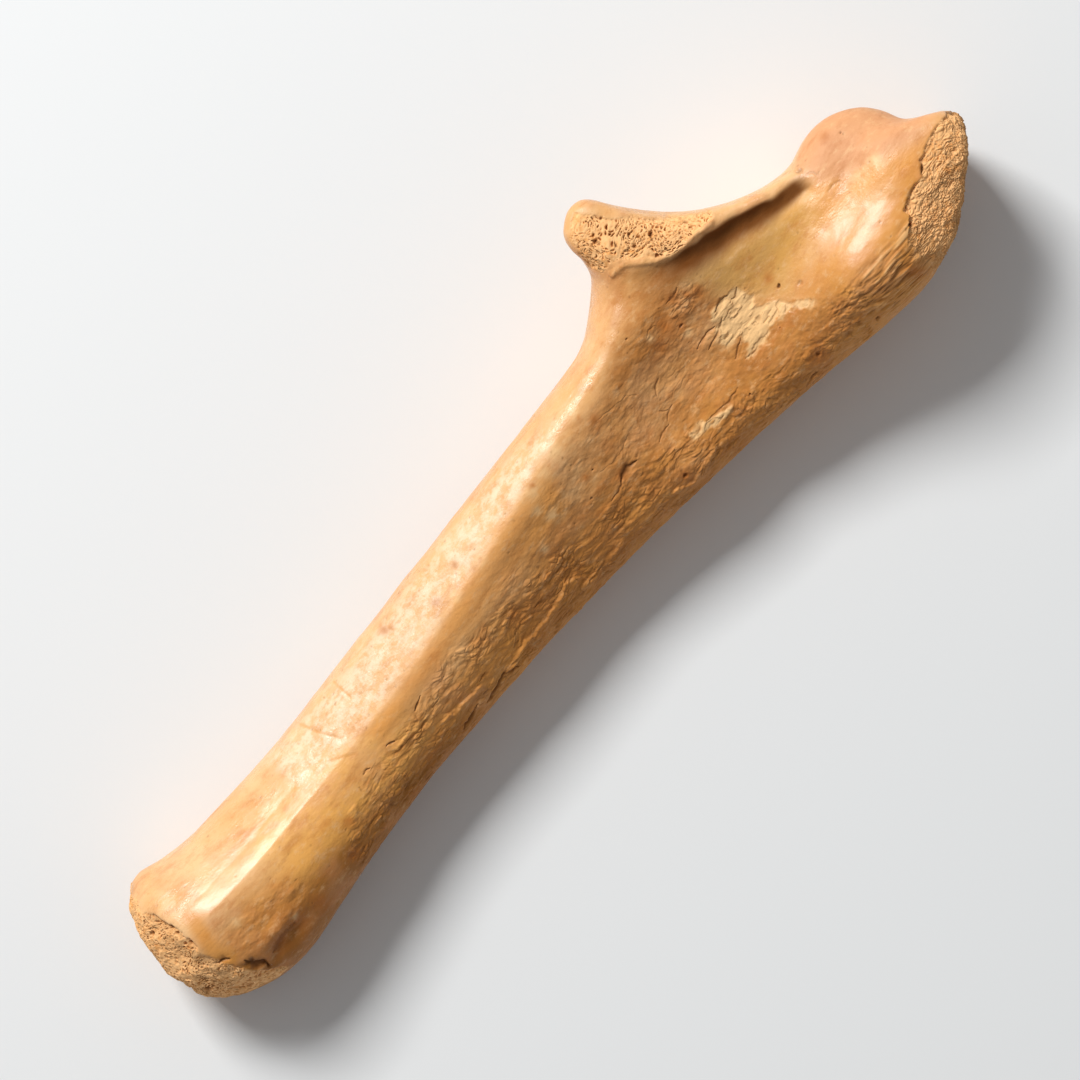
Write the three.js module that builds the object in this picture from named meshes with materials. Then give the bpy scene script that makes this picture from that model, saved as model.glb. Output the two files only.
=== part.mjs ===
// Right ulna of a young cave bear, lying on its lateral side as a museum shows it, in millimetres.
// Drawing frame: +X towards the elbow end, +Y towards the front of the limb, +Z up (the medial side),
// with the surface that the bone rests on at Z = 0. The last step moves the origin under the middle of
// the bone's box. Both growth caps are missing, so the two end faces are bare spongy bone.
import * as THREE from "three";

// Driving sizes.
const DISTAL_TIP_X = -136;
const PROXIMAL_TIP_X = 124;
const RIM_HEIGHT = 40; // medial rim of the elbow notch, above the table
const OLECRANON_HEIGHT = 42.8; // medial edge of the growth surface at the elbow end

const BONE_COLOUR = 0xc98a4e;
const BONE_ROUGHNESS = 0.42;

// Finest grid step of the surface, and the longer step that the straight shaft can take.
const FINE_STEP = 2.5;
const SHAFT_STEP = 5;
const SHAFT_FROM_X = -108;
const SHAFT_TO_X = 28;
const GRID_MARGIN = 6;
const RELAX_ROUNDS = 6;

// Curve through hand-picked [x, value] points, with a smooth monotone cubic between them.
function through(points) {
  const slopes = points.map((p, i) => {
    const before = points[i - 1];
    const after = points[i + 1];
    if (!before || !after) return 0;
    const s0 = (p[1] - before[1]) / (p[0] - before[0]);
    const s1 = (after[1] - p[1]) / (after[0] - p[0]);
    return s0 * s1 <= 0 ? 0 : (2 * s0 * s1) / (s0 + s1);
  });
  return (x) => {
    const last = points.length - 1;
    if (x <= points[0][0]) return points[0][1];
    if (x >= points[last][0]) return points[last][1];
    let i = 0;
    while (x > points[i + 1][0]) i += 1;
    const width = points[i + 1][0] - points[i][0];
    const t = (x - points[i][0]) / width;
    const t2 = t * t;
    const t3 = t2 * t;
    return (
      (2 * t3 - 3 * t2 + 1) * points[i][1] +
      (t3 - 2 * t2 + t) * width * slopes[i] +
      (3 * t2 - 2 * t3) * points[i + 1][1] +
      (t3 - t2) * width * slopes[i + 1]
    );
  };
}

const { smoothstep } = THREE.MathUtils;
const bell = (t) => Math.exp(-t * t);

// Zero below 0 and t above it, with a bend that is soft over about +-soft.
const bend = (t, soft) => (t + Math.sqrt(t * t + soft * soft)) / 2;

// Larger and smaller of two values, with the edge between them rounded over k.
function smoothMax(a, b, k) {
  const h = Math.max(k - Math.abs(a - b), 0) / k;
  return Math.max(a, b) + (h * h * k) / 4;
}
const smoothMin = (a, b, k) => -smoothMax(-a, -b, k);

// Outlines seen from the medial side, without the coronoid process and the anconeal lobe.
const frontOutline = through([
  [-137, 16.6], [-128, 19], [-124, 19.9], [-117, 17.9], [-108, 16.3], [-84, 15.8], [-60, 16.9],
  [-30, 18.6], [0, 20.4], [24, 21.8], [30, 22.8], [36, 26], [43, 30.8], [50, 34], [60, 33], [74, 27],
  [88, 17.5], [98, 11], [107, 6.2], [113, 2.5], [118, -0.7], [122, -3.5], [126, -5.5],
]);
const backOutline = through([
  [-137, -11.4], [-126, -17], [-118, -20], [-111, -20.5], [-98, -18.8], [-80, -16.6], [-58, -15.1],
  [-30, -15], [0, -16.3], [30, -18.3], [58, -21.4], [78, -24.5], [90, -25.6], [101, -23.5],
  [110, -18.6], [116, -14.4], [120, -10.8], [126, -5.6],
]);

// Medial (upper) side: a crest that starts at the middle of the shaft and climbs to the notch's rim.
const crestLine = through([
  [-130, 2], [-118, 1], [-105, -2], [-90, -3], [-70, -1], [-50, 1.5], [-30, 4], [-10, 8], [10, 12.5],
  [25, 16], [40, 21], [50, 27], [60, 22], [70, 20], [80, 16], [90, 12], [104, 6], [120, -2],
]);
const crestHeight = through([
  [-130, 34], [-122, 34.7], [-110, 33.8], [-100, 32.5], [-88, 31.2], [-72, 30.4], [-50, 32.2], [-30, 34.4],
  [-10, 36.8], [10, 38.6], [30, 39.8], [44, 39], [52, 37.2], [60, 36], [70, 37.4], [80, 39.2], [95, 40.2],
  [108, 42.8], [118, 42.4], [126, 40],
]);
const frontFall = through([
  [-124, 0.42], [-105, 0.4], [-80, 0.38], [-60, 0.32], [-20, 0.32], [10, 0.38], [30, 0.34], [44, 0.14],
  [126, 0],
]);
const backFall = through([
  [-124, 0.28], [-105, 0.32], [-90, 0.38], [-70, 0.56], [-50, 0.68], [-30, 0.76], [-10, 0.78],
  [10, 0.6], [25, 0.46], [40, 0.34], [50, 0.16], [60, 0.05], [70, -0.04], [84, -0.1], [106, -0.06],
]);

// Raised rim of the elbow notch: it widens into the bare spongy facet on the coronoid process.
const rimLine = through([
  [38, 34], [46, 30.6], [50, 28.5], [56, 23], [60, 20], [66, 18.5], [70, 18], [75, 16.2], [80, 14],
  [86, 12], [92, 10], [96, 8],
]);
const rimRise = through([[46, 0], [52, 2.4], [58, 4.4], [70, 4.8], [80, 3.8], [90, 2.4], [97, 0]]);
const RIM_SLOPE = 3;

// Hollow on the medial face of the olecranon, a long trough that follows the notch's rim.
const FOSSA = { x: 77, y: 3, slant: 0.2, halfLength: 21, frontWidth: 10, backWidth: 12, depth: 5.2 };
const GROOVE = { x: 38, y: 0, slant: -0.1, halfLength: 17, frontWidth: 12, backWidth: 10, depth: 4 };
const RIDGE = { x: 90, y: -14, slant: 0.05, halfLength: 18, frontWidth: 9, backWidth: 7, depth: -2 };
function troughDepth(trough, x, y) {
  const along = (x - trough.x) / trough.halfLength;
  const off = y - trough.y - trough.slant * (x - trough.x);
  const across = off / (off > 0 ? trough.frontWidth : trough.backWidth);
  return trough.depth * bell(along * along) * bell(across);
}

// The medial face falls to the anconeal lobe in front of the olecranon's top.
const LOBE = { x: 99.2, y: 1.6, radius: 14.8, low: 5, high: 36, edge: 9 };
const LOBE_STEP = { line: 6, slant: -0.42, width: 13, drop: 4.4 };
function lobeStep(x, y) {
  const beyondEdge = y - LOBE_STEP.line - LOBE_STEP.slant * (x - LOBE.x);
  return (
    LOBE_STEP.drop *
    smoothstep(beyondEdge, -LOBE_STEP.width, LOBE_STEP.width) *
    smoothstep(x, 84, 97)
  );
}

function medialHeight(x, y) {
  const off = y - crestLine(x);
  return (
    crestHeight(x) +
    rimRise(x) * smoothstep(y - rimLine(x), -RIM_SLOPE, 0.5) -
    frontFall(x) * bend(off - 1, 3) -
    backFall(x) * bend(-off - 1, 3) -
    troughDepth(FOSSA, x, y) -
    troughDepth(GROOVE, x, y) -
    troughDepth(RIDGE, x, y) -
    lobeStep(x, y)
  );
}

// Lateral (lower) side: it rests at the distal flare and under the olecranon, and arches between. Where
// this is below 0 the bone has a small flat patch that it rests on.
const lateralHeight = through([
  [-132, 0.6], [-122, -0.4], [-114, -0.2], [-98, 2.4], [-70, 4.4], [-30, 6], [8, 5], [36, 1.8],
  [54, -0.1], [66, -0.4], [102, -0.4], [114, 1.2], [126, 7],
]);

// How square the bone's section is: 2 is an ellipse, and larger values have tighter corners.
const medialSquareness = through([
  [-130, 3.2], [-110, 3], [-80, 3.4], [-50, 4.2], [0, 4.2], [28, 3.6], [44, 3.4], [60, 3], [75, 2.5],
  [92, 2.8], [102, 6], [112, 8],
]);
const LATERAL_SQUARENESS = 2.9;

function beam(x, y, z) {
  const front = frontOutline(x);
  const back = backOutline(x);
  const top = medialHeight(x, THREE.MathUtils.clamp(y, back, front));
  const bottom = lateralHeight(x);
  const halfY = (front - back) / 2;
  const halfZ = (top - bottom) / 2;
  const across = Math.abs(y - (front + back) / 2) / halfY;
  const upright = (z - (top + bottom) / 2) / halfZ;
  const n = upright > 0 ? medialSquareness(x) : LATERAL_SQUARENESS;
  return ((across ** n + Math.abs(upright) ** n) ** (1 / n) - 1) * Math.min(halfY, halfZ);
}

// Coronoid process: a round-nosed cone that leans forward from the notch's lower lip.
const CORONOID = {
  root: new THREE.Vector3(56, 22, 26.5),
  tip: new THREE.Vector3(51.2, 37.2, 35.6),
  rootRadius: 13,
  tipRadius: 7.4,
  blend: 5,
};
const coronoidAxis = new THREE.Vector3().subVectors(CORONOID.tip, CORONOID.root);
function coronoid(x, y, z) {
  const from = new THREE.Vector3(x, y, z).sub(CORONOID.root);
  const t = THREE.MathUtils.clamp(from.dot(coronoidAxis) / coronoidAxis.lengthSq(), 0, 1);
  const radius = THREE.MathUtils.lerp(CORONOID.rootRadius, CORONOID.tipRadius, t);
  return from.addScaledVector(coronoidAxis, -t).length() - radius;
}

// The bare spongy facet cuts the process's medial side flat.
const FACET = { z: RIM_HEIGHT, lean: 0.05, y: 32, rounding: 1.6 };
const facet = (x, y, z) => z - FACET.z + FACET.lean * (y - FACET.y);

// Elbow notch: the spool of the upper arm bone, with the waist that leaves the notch's guiding ridge.
const NOTCH = { x: 96, y: 55.1, radius: 41.2, ridgeZ: 25, waist: 1.7, halfWaist: 13, rounding: 3 };
function notch(x, y, z) {
  const radius = NOTCH.radius + NOTCH.waist * (1 - bell((z - NOTCH.ridgeZ) / NOTCH.halfWaist));
  return Math.hypot(x - NOTCH.x, y - NOTCH.y) - radius;
}

// Seat of the radius bone's head, a shallow scoop on the lateral side of the coronoid process.
const RADIAL_SEAT = { x: 51, y: 40, z: -3, radiusX: 17, radiusYZ: 20, rounding: 5 };
function radialSeat(x, y, z) {
  const dx = (x - RADIAL_SEAT.x) * (RADIAL_SEAT.radiusYZ / RADIAL_SEAT.radiusX);
  return Math.hypot(dx, y - RADIAL_SEAT.y, z - RADIAL_SEAT.z) - RADIAL_SEAT.radiusYZ;
}

// Anconeal lobe: the round beak above the notch, on the lateral half of the olecranon.
function anconealLobe(x, y, z) {
  const round = Math.hypot(x - LOBE.x, y - LOBE.y) - LOBE.radius;
  const thick = Math.max(z - LOBE.high, LOBE.low - z);
  return smoothMax(round, thick, LOBE.edge);
}

// Growth surface at the elbow end, a slanting face behind and above the olecranon.
const GROWTH_FACE = {
  point: new THREE.Vector3(112, -7, OLECRANON_HEIGHT),
  normal: new THREE.Vector3(0.16, -0.39, 0.91).normalize(),
  rounding: 1.6,
};
const TIP = { z: 22, bow: 0.009, rounding: 4 };
function proximalEnd(x, y, z) {
  const slanting = new THREE.Vector3(x, y, z).sub(GROWTH_FACE.point).dot(GROWTH_FACE.normal);
  const tip = x - PROXIMAL_TIP_X + TIP.bow * (z - TIP.z) ** 2;
  return smoothMax(slanting, tip, TIP.rounding);
}

// Growth surface at the wrist end, a bowed face that leans a little up.
const WRIST_FACE = {
  y: -2, reach: 30, z: 24, twist: 0.45, slope: 1.1, bend: 4, lower: 0.008, rounding: 1.4,
  bow: 0.008, cornerFront: 2.6e-5, cornerBack: 1.2e-4,
};
function distalEnd(x, y, z) {
  const dy = THREE.MathUtils.clamp(y - WRIST_FACE.y, -WRIST_FACE.reach, WRIST_FACE.reach);
  const dz = z - WRIST_FACE.z - WRIST_FACE.twist * Math.min(dy, 0);
  const upper = WRIST_FACE.slope * bend(dz, WRIST_FACE.bend);
  const lower = WRIST_FACE.lower * Math.min(dz, 0) ** 2;
  const corner = (dy > 0 ? WRIST_FACE.cornerFront : WRIST_FACE.cornerBack) * dy ** 4;
  return DISTAL_TIP_X + upper + lower + WRIST_FACE.bow * dy * dy + corner - x;
}

// Negative inside the bone, positive outside it.
function bone(x, y, z) {
  let value = smoothMin(beam(x, y, z), coronoid(x, y, z), CORONOID.blend);
  value = smoothMax(value, facet(x, y, z), FACET.rounding);
  value = smoothMax(value, -notch(x, y, z), NOTCH.rounding);
  value = smoothMax(value, -radialSeat(x, y, z), RADIAL_SEAT.rounding);
  value = smoothMin(value, anconealLobe(x, y, z), 3);
  value = smoothMax(value, proximalEnd(x, y, z), GROWTH_FACE.rounding);
  value = smoothMax(value, distalEnd(x, y, z), WRIST_FACE.rounding);
  return Math.max(value, -z);
}

function gradient(x, y, z) {
  const d = 0.05;
  return new THREE.Vector3(
    bone(x + d, y, z) - bone(x - d, y, z),
    bone(x, y + d, z) - bone(x, y - d, z),
    bone(x, y, z + d) - bone(x, y, z - d),
  ).divideScalar(2 * d);
}

// Moves a point onto the bone's surface.
function settle(point) {
  for (let round = 0; round < 3; round += 1) {
    const slope = gradient(point.x, point.y, point.z);
    const step = bone(point.x, point.y, point.z) / Math.max(slope.lengthSq(), 0.05);
    point.addScaledVector(slope, -THREE.MathUtils.clamp(step, -1, 1));
  }
}

// Grid lines along one axis, closer together outside the straight shaft.
function gridLines(from, to, stepAt) {
  const lines = [from];
  while (lines[lines.length - 1] < to) {
    const here = lines[lines.length - 1];
    lines.push(here + stepAt(here));
  }
  return lines;
}
function lengthwiseStep(x) {
  const inShaft =
    smoothstep(x, SHAFT_FROM_X, SHAFT_FROM_X + 14) * (1 - smoothstep(x, SHAFT_TO_X - 14, SHAFT_TO_X));
  return THREE.MathUtils.lerp(FINE_STEP, SHAFT_STEP, inShaft);
}

// Surface nets: one vertex in each grid cell that the surface crosses, one quad for each grid edge.
function surfaceNet() {
  const xs = gridLines(DISTAL_TIP_X - GRID_MARGIN, PROXIMAL_TIP_X + GRID_MARGIN, lengthwiseStep);
  const ys = gridLines(-31, 51, () => FINE_STEP);
  const zs = gridLines(-5, 46, () => FINE_STEP);
  const at = (i, j, k) => (i * ys.length + j) * zs.length + k;
  const field = new Float64Array(xs.length * ys.length * zs.length);
  xs.forEach((x, i) => ys.forEach((y, j) => zs.forEach((z, k) => {
    field[at(i, j, k)] = bone(x, y, z);
  })));

  // Where the corners of a grid face alternate the net would touch itself, so one of them is filled.
  const strides = [at(1, 0, 0), at(0, 1, 0), at(0, 0, 1)];
  for (let filled = true; filled; ) {
    filled = false;
    for (let n = 0; n + strides[0] + strides[1] < field.length; n += 1) {
      for (const [u, v] of [[0, 1], [1, 2], [0, 2]]) {
        const face = [n, n + strides[u], n + strides[u] + strides[v], n + strides[v]];
        const [a, b, c, d] = face.map((m) => field[m] < 0);
        if (a !== c || b !== d || a === b) continue;
        const outside = face.filter((m) => field[m] >= 0);
        const nearest = field[outside[0]] < field[outside[1]] ? outside[0] : outside[1];
        field[nearest] = -1e-3;
        filled = true;
      }
    }
  }

  const corner = (i, j, k, n) => [i + (n & 1), j + ((n >> 1) & 1), k + ((n >> 2) & 1)];
  const cellVertex = new Map();
  const vertices = [];
  for (let i = 0; i + 1 < xs.length; i += 1) {
    for (let j = 0; j + 1 < ys.length; j += 1) {
      for (let k = 0; k + 1 < zs.length; k += 1) {
        const sum = new THREE.Vector3();
        let crossings = 0;
        for (let n = 0; n < 8; n += 1) {
          for (const bit of [1, 2, 4]) {
            if (n & bit) continue;
            const p = corner(i, j, k, n);
            const q = corner(i, j, k, n | bit);
            const a = field[at(...p)];
            const b = field[at(...q)];
            if (a < 0 === b < 0) continue;
            const from = new THREE.Vector3(xs[p[0]], ys[p[1]], zs[p[2]]);
            const to = new THREE.Vector3(xs[q[0]], ys[q[1]], zs[q[2]]);
            sum.add(from.lerp(to, a / (a - b)));
            crossings += 1;
          }
        }
        if (!crossings) continue;
        cellVertex.set(at(i, j, k), vertices.length);
        vertices.push(sum.divideScalar(crossings));
      }
    }
  }

  const quads = [];
  const axes = [[1, 0, 0], [0, 1, 0], [0, 0, 1]];
  for (let i = 1; i + 1 < xs.length; i += 1) {
    for (let j = 1; j + 1 < ys.length; j += 1) {
      for (let k = 1; k + 1 < zs.length; k += 1) {
        axes.forEach((along, n) => {
          const inside = field[at(i, j, k)] < 0;
          if (inside === field[at(i + along[0], j + along[1], k + along[2])] < 0) return;
          const u = axes[(n + 1) % 3];
          const v = axes[(n + 2) % 3];
          const cell = (a, b) =>
            cellVertex.get(at(i - a * u[0] - b * v[0], j - a * u[1] - b * v[1], k - a * u[2] - b * v[2]));
          const quad = [cell(1, 1), cell(0, 1), cell(0, 0), cell(1, 0)];
          quads.push(inside ? quad : quad.reverse());
        });
      }
    }
  }
  return { vertices, quads };
}

// Evens out the net along the surface, then splits each quad at its shorter diagonal.
function boneGeometry() {
  const { vertices, quads } = surfaceNet();
  const neighbours = vertices.map(() => new Set());
  quads.forEach((quad) => quad.forEach((v, n) => {
    neighbours[v].add(quad[(n + 1) % 4]);
    neighbours[v].add(quad[(n + 3) % 4]);
  }));
  for (let round = 0; round < RELAX_ROUNDS; round += 1) {
    const means = vertices.map((v, n) => {
      const mean = new THREE.Vector3();
      neighbours[n].forEach((m) => mean.add(vertices[m]));
      return mean.divideScalar(neighbours[n].size);
    });
    vertices.forEach((v, n) => {
      v.lerp(means[n], 0.5);
      settle(v);
    });
  }
  const index = quads.flatMap(([a, b, c, d]) =>
    vertices[a].distanceTo(vertices[c]) < vertices[b].distanceTo(vertices[d])
      ? [a, b, c, a, c, d]
      : [a, b, d, b, c, d],
  );
  const geometry = new THREE.BufferGeometry().setFromPoints(vertices);
  geometry.setIndex(index);
  geometry.computeVertexNormals();
  geometry.computeBoundingBox();
  return geometry;
}

const geometry = boneGeometry();
const ulna = new THREE.Mesh(
  geometry,
  new THREE.MeshStandardMaterial({ color: BONE_COLOUR, roughness: BONE_ROUGHNESS, metalness: 0 }),
);
ulna.name = "ulna";

// Origin under the middle of the bone's box, on the surface that it rests on.
const { min, max } = geometry.boundingBox;
ulna.position.set(-(min.x + max.x) / 2, -(min.y + max.y) / 2, -min.z);

const fossil = new THREE.Group();
fossil.add(ulna);

export default fossil;
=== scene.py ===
"""Fossil cave bear ulna on a pale table, seen from straight above.

Places on the bone are in millimetres on its own map: X towards the elbow, Y towards the front of the
limb, Z up, with zero at the middle of the shaft on the table. Blender's own lengths are in metres.
"""

import math

import bmesh
import bpy
import numpy as np
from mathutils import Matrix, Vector


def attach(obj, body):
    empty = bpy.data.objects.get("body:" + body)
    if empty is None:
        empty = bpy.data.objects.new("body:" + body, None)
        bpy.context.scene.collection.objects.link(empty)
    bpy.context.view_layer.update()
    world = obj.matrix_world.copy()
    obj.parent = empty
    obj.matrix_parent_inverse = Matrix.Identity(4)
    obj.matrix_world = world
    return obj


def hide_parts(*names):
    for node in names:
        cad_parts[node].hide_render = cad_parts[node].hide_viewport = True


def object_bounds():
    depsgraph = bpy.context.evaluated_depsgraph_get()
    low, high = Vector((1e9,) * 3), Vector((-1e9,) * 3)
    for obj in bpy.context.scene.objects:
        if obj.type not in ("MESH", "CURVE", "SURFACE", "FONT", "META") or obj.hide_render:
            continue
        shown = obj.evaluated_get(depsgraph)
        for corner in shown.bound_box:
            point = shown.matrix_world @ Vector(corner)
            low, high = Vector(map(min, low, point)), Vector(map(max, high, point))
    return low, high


MM = 0.001

# Where the map's zero is from the low corner of the bone's box, in millimetres
MAP_FROM_CORNER = Vector((135.042, 25.588, 0))

# Fine mesh of the bone, in millimetres
VOXEL = 0.3
FACET_SMOOTHING = 45

# The bare growth face at the wrist end, the same surface as in the solid
WRIST_FACE = {
    "tip": -136,
    "y": -2,
    "z": 24,
    "twist": 0.45,
    "slope": 1.1,
    "bend": 4,
    "lower": 0.008,
    "bow": 0.008,
    "corner_front": 2.6e-5,
    "corner_back": 1.2e-4,
}

# Outlines on the map of what the camera sees, in millimetres
ELBOW_FACE = [
    (97.5, -14.6), (98.6, -14.1), (99.3, -13), (100.3, -12.4), (100.4, -11), (102, -10.4), (103, -10),
    (104.6, -9.1), (106.5, -8.9), (108.9, -9.2), (109.4, -8.2), (110.6, -7.4), (111.2, -6.2),
    (113, -5.4), (115, -4.9), (117, -4.4), (120, -4.1), (126, -3.8), (130, -30), (90, -30), (91, -19),
    (94, -16.5),
]
CORONOID_FACET = [
    (44.6, 33), (45.4, 37), (46.7, 40.2), (49, 43), (51.4, 43.8), (53.2, 41.4), (54.6, 38.6),
    (56.6, 36.4), (59.2, 34), (61, 31.4), (63.8, 28.4), (66.6, 26), (69, 23.2), (72, 21.2), (70.5, 20),
    (66, 20.6), (61, 21), (59.2, 21.8), (57.2, 22.8), (55, 24.2), (53, 26.6), (50.5, 29.2), (48, 30.3),
    (45.5, 30.4),
]
WRIST_BACK = [(-121, -2), (-104, -1.6), (-94, -7), (-96, -14), (-106, -17), (-118, -17), (-122, -9)]
BARK = [
    (-88, -11), (-83, -7.6), (-78, -6), (-70, -3.8), (-57, -2.2), (-44, -0.4), (-30, -0.6), (-23, -1.6),
    (-10, -3), (0, -4.4), (10, -5), (20, -5), (30, -7), (44, -10), (62, -14), (76, -16), (80, -30),
    (-60, -26), (-88, -18),
]
FLANK = [
    (-28, 0), (-12, 5), (4, 8), (18, 13), (32, 15), (46, 18), (57, 16), (60, 8), (66, 6), (70, -2),
    (78, -10), (80, -22), (-28, -22),
]
COMBED = [(72, -13), (82, -12.6), (97, -12.2), (101, -14), (106, -24), (84, -25), (74, -20)]
CREAM_PATCH = [
    (50, 0.5), (53, 2.4), (55, 5.6), (58, 5.8), (60, 6.4), (63, 5.4), (64, 3), (63.8, 0), (65, -2),
    (67, -4), (69, -6), (71.5, -8), (72, -10.2), (70, -10.4), (68, -7.5), (64, -5.6), (61, -5.4),
    (58.4, -8.2), (56, -7.4), (53, -6.4), (55, -4.4), (54.4, -2.6), (51.5, -1.6),
]
PALE_FLAKES = [(31, -7.4), (38, -9), (44, -10), (42, -12.6), (34, -11.4), (30, -10)]
PINK_LOBE = [
    (91, 13), (96, 18), (104, 19), (112, 13), (118, 4), (124, -1), (114, -3), (106, 0), (98, 3), (93, 7),
]
YELLOW_HOLLOW = [(58, 14), (66, 13), (76, 10), (88, 7.5), (86, 3), (78, 1), (70, -2), (66, 1), (60, 8)]
GOLD_SHAFT = [(-100, 1), (-84, 2.5), (-62, 1), (-60, -6), (-76, -9), (-100, -10)]
AMBER_FLANK = [
    (-66, 2), (-44, 3.6), (-24, 7.6), (-8, 9.6), (4, 9), (0, 1.6), (-20, 1), (-44, 0), (-64, -1.6),
]
AMBER_ELBOW = [
    (72, 4), (82, 7.6), (92, 8), (98, 4), (110, -1), (118, -4), (108, -7), (98, -2), (84, 0), (74, -2),
]
# Where the front of the shaft has a wide soft sheen, painted in as a paler colour
SHEEN_AREA = [
    (-84, 3.6), (-60, 4.4), (-40, 6.6), (-24, 9), (-8, 11.4), (6, 13.6), (12, 16), (0, 17.6),
    (-20, 17), (-40, 15.6), (-60, 14), (-84, 14),
]
NECK = [(28, 11), (34, 19), (42, 26), (50, 28), (58, 22), (62, 17), (50, 12), (38, 9)]
DIMPLED = [(49, 8), (52, 7.6), (58.6, 12), (57, 16), (50, 16.4), (46.6, 12)]

# Rust stains as (x, y, radius)
RUST_MARKS = [
    (-46, 14.2, 1.2), (-44.5, 13.6, 0.8), (-25, 12, 0.8), (-34, 9.5, 1.2),
    (46, 12, 2.6), (42, 10.5, 2), (48.6, 9.4, 1.3), (51.5, 14.6, 1.7), (54.5, 13, 1.2), (56.5, 11.4, 1.6),
    (9, 3, 1), (15, -2.6, 1.6), (-113, -14.6, 2.4), (-107, -14.4, 2.8), (-101, -15, 2), (-88, -13.6, 1.8),
    (64, -17.4, 2.4), (92, -21, 2.4), (98, -22.4, 2), (69.3, 1.8, 1.2), (24, -13.2, 1.4), (-83, -8, 1.4),
    (-9, -1, 1.5), (20, 10, 1.4), (18, 12.6, 1), (0, 10.6, 0.9), (101, 13, 1.2), (116, 3.6, 1),
]

# Foot of the wall under the notch's rim, where a shaded channel runs
RIM_FOOT = [
    (47, 25.4), (51, 22.4), (56, 19.8), (60, 18.3), (66, 16.9), (72, 14.9), (78, 12.8), (84, 11), (90, 9.4),
]
CHANNEL_DEPTH = 0.9
CHANNEL_HALF_WIDTH = 2.6
# How far the shade reaches from the foot, as (x, distance)
SHADE_REACH = [(46, 6), (60, 5.6), (78, 4.4), (92, 1.2)]
# Lip of the notch's rim, over the channel
LIP = [(47, 28.6), (51, 27.4), (53, 25.4), (56, 22.9), (59, 21.2), (62, 20.5), (66, 20.3), (70, 19.6)]
LIP_HEIGHT = 0.5
LIP_HALF_WIDTH = 0.7

# Middles of the two smoothest places
SHAFT_GLOSS = [(-118, 3.8), (-104, 3.4), (-88, 3.6)]
ELBOW_GLOSS = [(85, -5.4), (90, -6.5), (96, -9)]
# Crest of the shaft, a soft edge where the glossy front ends
CREST = [
    (-124, 2.2), (-118, 1.4), (-104, 1), (-90, 1.6), (-76, 2.2), (-60, 2.8), (-45, 4), (-32, 6), (-20, 7.6),
    (-8, 9.6), (6, 12), (20, 15),
]
CREST_HEIGHT = 0.55
CREST_HALF_WIDTH = 4.5
# Soft swellings as (x, y, half length, half width, height)
SWELLINGS = [
    (88, 7.5, 9, 6.5, 1.3), (-2, -13, 7, 2, 0.5), (12, -12, 8, 2, 0.4), (30, -13.4, 9, 1.8, 0.5),
    (50, -15.4, 8, 2, 0.4), (-112, -11.6, 5, 1.5, 0.8), (-110, -15.4, 6, 1.6, -1), (-96, -3, 9, 3, -0.2),
    (28, 3, 12, 6, 0.3), (14, 4, 8, 5, -0.4), (40, 6, 7, 4, -0.4), (52, 14, 6, 3, -0.5),
    (44, 16, 5, 3, 0.4), (-60, 9, 12, 5, 0.2), (66, -10, 8, 4, 0.3), (78, -18, 10, 3, -0.4),
    (104, 5, 6, 4, -0.4), (-20, 3, 10, 3, -0.3), (-40, -6, 10, 3, 0.4), (-66, -8, 8, 2.4, 0.3),
    (84, -12, 8, 6, 0.5), (97, -14.6, 9, 6, 0.8), (88, -1, 8, 4, 0.25), (-103, 0.6, 17, 4, 0.12),
]

# Painted highlights on small lit edges, as (x, y, radius)
GLINT_MARKS = [
    (-2, 3, 2), (-3.4, 6, 1.4), (-1, 10, 1.8), (3.4, 11, 1.4), (9, 12, 1.5), (13, 12.4, 1.2),
    (18.4, 14, 1.8),
    (71, -9, 1.3), (69.4, -6, 0.8), (100, 1.4, 2), (104, 0.9, 2), (-20, 8.4, 1.6), (-30, 7.4, 1.4),
    (-116, -3.6, 1.2), (-107, -12.6, 1), (118, -8, 0.9), (48, 7.2, 1.2), (42, 12.6, 1.3), (-9, -0.6, 1),
]

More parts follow.
